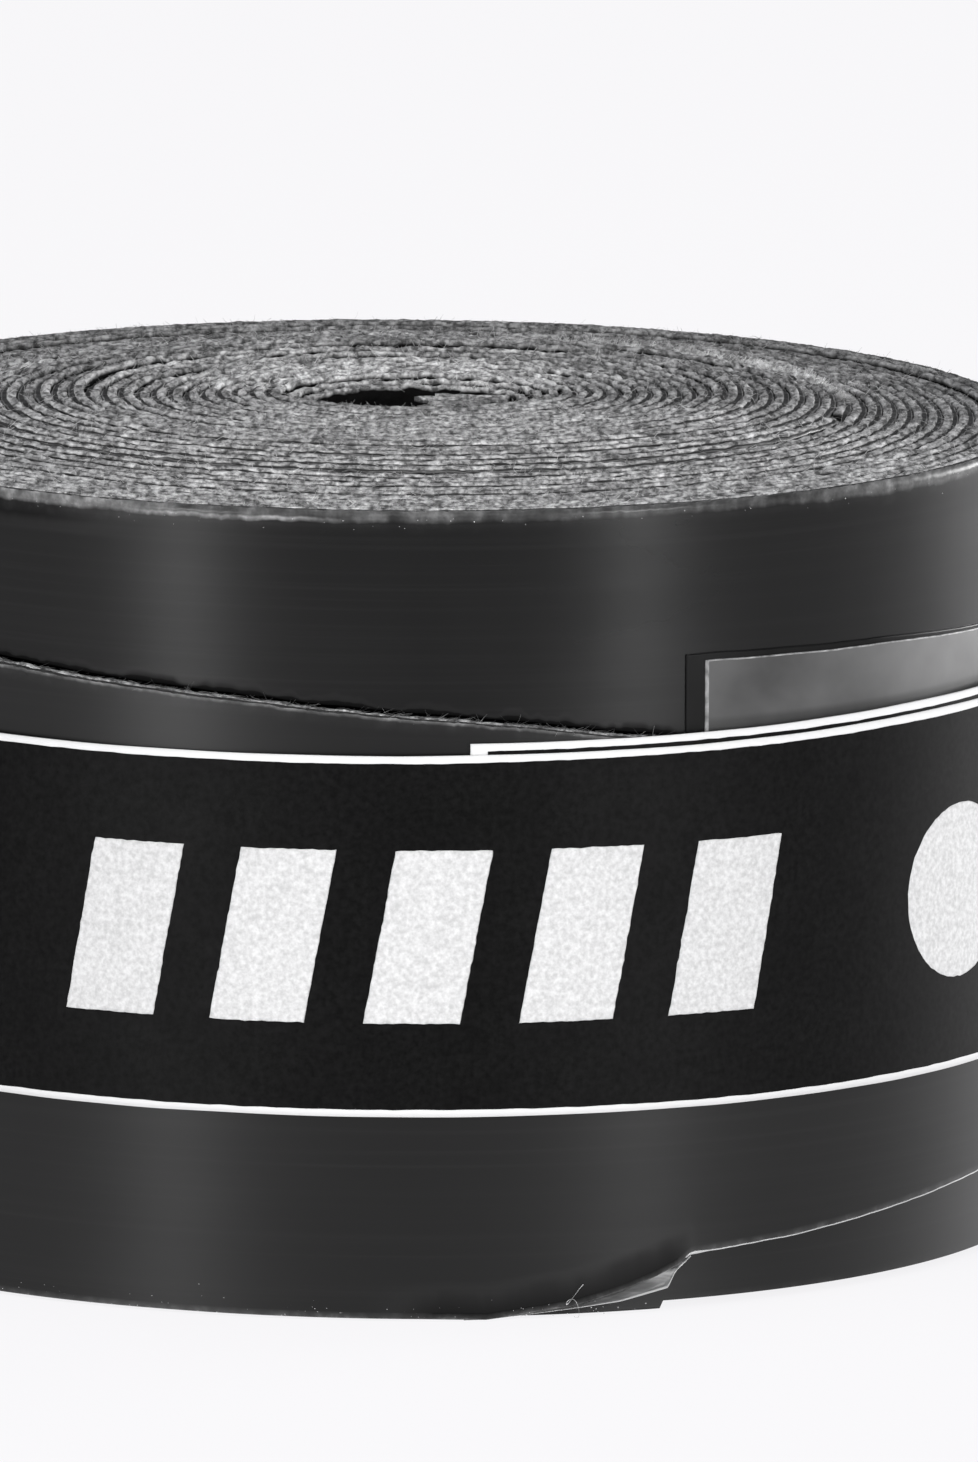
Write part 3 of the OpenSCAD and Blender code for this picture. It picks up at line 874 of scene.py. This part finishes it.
def edge_bead():
    """The thin bright line of film along the outer turn's lower edge."""
    degrees = np.linspace(25.6, 124, 260)
    height = table(degrees, LOWER_EDGE) + 0.01 * ripple(62, 20, 1, 12)(degrees)
    swell = 1 + 1.1 * np.exp(-((degrees - 26.6) / 0.7) ** 2)
    reach = OUTSIDE - 0.02 - 0.04 * smooth((degrees - 80) / 12)
    reach += np.where(degrees > 90, PITCH / 2 * (1 - np.sin(np.radians(degrees))), 0)
    return round_line("film_edge_line", degrees, reach, height, 0.03 * np.minimum(swell, 1.8),
                      0.03 * swell, 6, edge=0.75)


finish_piece(edge_bead(), lip_material(), "roll", "film")


def curled_fibre():
    """A single pale fibre curled up on the loose film's start."""
    share = np.linspace(0, 1, 40)
    degrees = 15.2 + 0.9 * np.sin(7.5 * share) * (0.4 + 0.6 * share)
    height = 0.05 + 0.95 * share - 0.22 * np.sin(11 * share)
    reach = OUTSIDE + 0.024 + 0.008 * np.cos(9 * share)
    return round_line("curled_fibre", degrees, reach, height, 0.014, 0.016, 4, tone=0.8)


finish_piece(curled_fibre(), fibres_look, "roll", "felt")


# ---- crumbs
def crumbs():
    """Small irregular grains stuck along the foot of the outer turn and along the rim."""
    draw = default_rng(71)
    feet, rims = 170, 80  # how many lie at each
    count = feet + rims
    low = draw.uniform(-75, 22, feet)
    low_z = np.abs(draw.normal(0.0, 0.40, feet)) + 0.06
    rim = draw.uniform(-100, 80, rims)
    rim_z = WIDTH + LIFT - 0.3 - np.abs(draw.normal(0, 0.25, rims))
    radius = np.repeat([OUTSIDE - 0.012, RIM], [feet, rims])
    origin = rise_on(around(np.append(low, rim) + FRONT, radius), np.append(low_z, rim_z))
    size = np.append(draw.uniform(0.015, 0.040, feet), draw.uniform(0.012, 0.028, rims))
    corner = np.kron(np.eye(3), [[1], [-1]])  # one each way along each axis
    girdle = ((0, 2), (2, 1), (1, 3), (3, 0))
    face = np.array([(a, b, 4) for a, b in girdle] + [(b, a, 5) for a, b in girdle])
    jitter = default_rng(72).uniform(0.5, 1.3, (count, 6, 1)) * size[:, None, None]
    verts = origin[:, None] + corner * jitter
    faces = face + (np.arange(count) * 6)[:, None, None]
    return build("crumbs", verts.reshape(-1, 3), (), faces.reshape(-1, 3), np.arange(count * 8))


finish_piece(crumbs(), crumb_look, "roll", "felt")


# ---- the band
def band_place(degrees, depth):
    """Points of the band's wall: the inner lap, then round the back and over itself."""
    over_itself = smooth((degrees - 372) / 150)
    return around(degrees, OUTSIDE + 0.05 + (PAPER + PRINT + 0.03) * over_itself + depth)


# how much higher the band's top edge runs on the right, by degrees to the right of the front
BAND_RISE = [
    (-90, 0), (0, 0.01), (15, 0.08), (27, 0.12), (40, 0.16), (49, 0.19), (70, 0.2),
    (110, 0.12), (180, 0)]


def band_rise(degrees):
    return table((degrees - FRONT + 180) % 360 - 180, BAND_RISE)


def band_low(degrees):
    lap = LAP_OFFSET * (1 - np.clip((degrees - 360) / 180, 0, 1))
    return BAND_BOTTOM + lap + 0.8 * np.maximum(band_rise(degrees) - 0.12, 0)


def band_high(degrees):
    return band_low(degrees) + BAND_HEIGHT + band_rise(degrees)


def band_paper():
    """The white sheet, marked as edge where the print leaves it bare."""
    degrees = with_ends(LAP_START, LAP_END, 1.0, 0.3)
    low = band_low(degrees) + 0.012 * ripple(81, 12, 8, 60)(degrees)
    high = band_high(degrees) + 0.012 * ripple(82, 12, 8, 60)(degrees)
    bare = (degrees < LAP_START + 1.8) | (degrees > LAP_END - 0.4)
    return plate("band_sheet", band_place(degrees, 0.0), band_place(degrees, PAPER), low, high, 0.34,
                 0.36, bare)


finish_piece(band_paper(), paper_material(), "band", "band_paper", "band_paper")

BAND_RADIUS = OUTSIDE + 0.3  # where lengths along the print are measured
BARS = [245.4 + 13.4 * k for k in range(5)]  # angles of the bars
BAR_WIDTH, BAR_HEIGHT, BAR_LEAN = 3.6, 6.5, 1.2
DOT = 327.0  # angle of the disc
DOT_RADIUS = 3.3
PRINT_MARGIN = 0.27  # bare paper above and below the print
RAGGED = 0.012  # unevenness of the marks' outlines
STEP = 0.22  # distance of the points along a bar's outline


def print_place(degrees):
    """Length along the printed band from its inner end."""
    return np.radians(degrees - LAP_START) * BAND_RADIUS


def print_degrees(length):
    """The angle at a length along the printed band."""
    return np.degrees(length / BAND_RADIUS) + LAP_START


def mark_outlines():
    """Five leaning bars and a dot, in millimetres along and up the printed band."""
    draw = default_rng(91)
    middle = BAND_BOTTOM + BAND_HEIGHT / 2
    outlines = []
    for angle in BARS:
        x = print_place(angle + 360)
        half, tall, lean = BAR_WIDTH / 2, BAR_HEIGHT / 2, BAR_LEAN / 2
        corners = np.array([(x + side * half + end * lean, middle + end * tall)
                            for side, end in ((-1, -1), (1, -1), (1, 1), (-1, 1))])
        outline = []
        for a, b in zip(corners, np.roll(corners, -1, 0)):
            count = int(np.linalg.norm(b - a) / STEP)
            outline += [a + (b - a) * k / count + draw.normal(0, RAGGED, 2) for k in range(count)]
        outlines.append(np.array(outline))
    angle = np.linspace(0, math.tau, 90, endpoint=False)
    circle = np.column_stack([print_place(DOT + 360) + DOT_RADIUS * np.cos(angle),
                              middle + DOT_RADIUS * np.sin(angle)])
    outlines.append(circle + draw.normal(0, RAGGED, circle.shape))
    return outlines


def inside(points, outline):
    """Which points lie inside a closed outline."""
    x, y = points[:, 0], points[:, 1]
    hit = np.zeros(len(points), bool)
    for (ax, ay), (bx, by) in zip(outline, np.roll(outline, -1, 0)):
        cross = (ay > y) != (by > y)
        with np.errstate(divide="ignore", invalid="ignore"):
            hit ^= cross & (x < (bx - ax) * (y - ay) / (by - ay) + ax)
    return hit


def band_print():
    """The black layer, with the marks left open so that the paper shows through them."""
    draw = default_rng(92)
    start = LAP_START + 1.5
    angles = np.arange(start, LAP_END, 1.0)
    low = np.column_stack([print_place(angles), band_low(angles) + PRINT_MARGIN])
    low[:, 1] += draw.normal(0, 0.008, len(low))
    end_heights = np.linspace(band_low(LAP_END) + PRINT_MARGIN, band_high(LAP_END) - PRINT_MARGIN, 14)
    right = np.column_stack([np.full(14, print_place(LAP_END - 0.02)), end_heights])
    high = np.column_stack([print_place(angles), band_high(angles) - PRINT_MARGIN])[::-1]
    high[:, 1] += draw.normal(0, 0.008, len(high))
    border = np.vstack([low, right, high])
    marks = mark_outlines()
    points, edges = [], []
    for loop in [border] + marks:
        first = len(points)
        points += [Vector(p) for p in loop]
        edges += [(first + k, first + (k + 1) % len(loop)) for k in range(len(loop))]
    # points inside the sheet keep the triangles short enough to bend round the roll
    for x in np.arange(print_place(start) + 0.5, print_place(LAP_END) - 0.4, 1.0):
        base = band_low(print_degrees(x))
        points += [Vector((x, base + z)) for z in np.linspace(1.2, BAND_HEIGHT - 1.2, 8)]
    found = delaunay_2d_cdt(points, edges, [], 1, 1e-4)
    flat = np.array([(p.x, p.y) for p in found[0]])
    tris = np.array(found[2])
    middle = flat[tris].mean(1)
    keep = inside(middle, border)
    for mark in marks:
        keep &= ~inside(middle, mark)
    used, tris = np.unique(tris[keep], return_inverse=True)
    tris, flat = tris.reshape(-1, 3), flat[used]
    degrees = print_degrees(flat[:, 0])
    skin = [rise_on(band_place(degrees, depth), flat[:, 1]) for depth in (PAPER + 0.001, PAPER + PRINT)]
    sides = np.vstack([tris[:, [0, 1]], tris[:, [1, 2]], tris[:, [2, 0]]])
    _, index, uses = np.unique(np.sort(sides, axis=1), axis=0, return_index=True, return_counts=True)
    rim = sides[index[uses == 1]]  # sides that only one triangle has
    count = len(flat)
    walls = np.column_stack([rim[:, 0], rim[:, 1], rim[:, 1] + count, rim[:, 0] + count])
    faces = np.vstack([tris[:, ::-1], tris + count])
    obj = build("band_ink", np.vstack(skin), walls, faces, np.arange(len(walls)))
    # true round normals, so that the long triangles between the marks do not shade the sheet
    normals = []
    for polygon in obj.data.polygons:
        for corner in polygon.vertices:
            if polygon.use_smooth:
                place = obj.data.vertices[corner].co
                outward = Vector((place.x - FRONT_CENTRE[0] * MM, place.y - FRONT_CENTRE[1] * MM, 0))
                normals.append(outward.normalized() * (1 if outward.dot(polygon.normal) > 0 else -1))
            else:
                normals.append(polygon.normal.copy())
    obj.data.normals_split_custom_set(normals)
    return obj


finish_piece(band_print(), print_material(), "band", "band_print", "band_print")


def band_glue():
    """Glue between the two laps, near the outer lap's end."""
    degrees = np.linspace(LAP_END - 27, LAP_END - 0.5, 40)
    inner = band_place(degrees - 360, PAPER + PRINT + 0.002)
    outer = band_place(degrees, -0.002)
    low, high = BAND_BOTTOM + 0.7, BAND_BOTTOM + BAND_HEIGHT - 0.4
    return tube("lap_glue", ((inner, low), (inner, high), (outer, high), (outer, low)), (0, 1, 2, 3))


finish_piece(band_glue(), glue_look, "band", "glue", "band_glue")


# ---- floor, light and camera
def floor():
    """A pale round floor that also glows, so that it runs into the background."""
    glow = Shader("pale_floor", Base_Color=(0.10, 0.10, 0.10, 1), Roughness=1.0, Specular_IOR_Level=0.0,
                  Emission_Color=(0.93, 0.922, 0.94, 1), Emission_Strength=0.925)
    mesh = bpy.data.meshes.new("floor")
    radius, corners = 4.0, 64  # the radius is in metres
    ring = [(radius * math.cos(a), radius * math.sin(a), 0.0)
            for a in np.linspace(0, math.tau, corners + 1)[:-1]]
    mesh.from_pydata(ring, [], [list(range(corners))])
    mesh.materials.append(glow.material)
    add_object("floor", mesh)


def area_light(name, azimuth, elevation, distance, width, height, power, target_z):
    """A soft box, in metres and watts. azimuth is in degrees to the right of the front."""
    a, e = math.radians(azimuth), math.radians(elevation)
    place = Vector((math.sin(a) * math.cos(e), -math.cos(a) * math.cos(e), math.sin(e))) * distance
    place.z += target_z
    light = bpy.data.lights.new(name, "AREA")
    light.shape = "RECTANGLE"
    light.size, light.size_y, light.energy = width, height, power
    obj = add_object(name, light)
    obj.location = place
    obj.rotation_euler = (Vector((0, 0, target_z)) - place).to_track_quat("-Z", "Y").to_euler()
    obj.visible_camera = False


floor()
for row in (("strip_left", -39.5, 7.2, 0.60, 0.070, 0.15, 1.68, 0),
            ("strip_right", 42.0, 7.2, 0.60, 0.070, 0.15, 1.56, 0),
            ("strip_far_right", 124, 8, 0.60, 0.20, 0.16, 2.4, 0),
            ("front_top", 4, 27, 0.90, 0.60, 0.30, 2.1, 0.012),
            ("overhead", 10, 78, 0.80, 0.7, 0.7, 2.3, 0.012)):
    area_light(*row)

world = bpy.data.worlds.new("studio")
world.use_nodes = True
socket_set(world.node_tree.nodes["Background"], Color=(0.95, 0.955, 1.0, 1), Strength=0.36)
bpy.context.scene.world = world
bpy.context.scene.view_settings.view_transform = "Standard"


CAMERA_ELEVATION = 9.509
CAMERA_DISTANCE = 45 * RIM
PAN, TILT, ROLL = -0.181, 0.157, -0.263  # small turns away from the target, in degrees
LENS = 699.735


def camera():
    """A long lens nine and a half degrees above the roll's middle, aimed a little to the side."""
    elevation = math.radians(CAMERA_ELEVATION)
    target = Vector((CENTRE[0] + PITCH / 4, CENTRE[1], (WIDTH + LIFT) / 2))
    forward = Vector((0, math.cos(elevation), -math.sin(elevation)))
    right = Vector((1, 0, 0))
    up = right.cross(forward)
    place = (target - forward * CAMERA_DISTANCE) * MM
    pan = Matrix.Rotation(math.radians(PAN), 3, up)
    forward, right = pan @ forward, pan @ right
    tilt = Matrix.Rotation(math.radians(TILT), 3, right)
    forward, up = tilt @ forward, tilt @ up
    roll = Matrix.Rotation(math.radians(ROLL), 3, forward)
    right, up = roll @ right, roll @ up
    data = bpy.data.cameras.new("camera")
    data.lens, data.sensor_width = LENS, 36
    data.clip_start, data.clip_end = 0.05, 20
    obj = add_object("camera", data)
    turn = Matrix((right, up, -forward)).transposed().to_4x4()
    obj.matrix_world = Matrix.Translation(place) @ turn
    bpy.context.scene.camera = obj


camera()
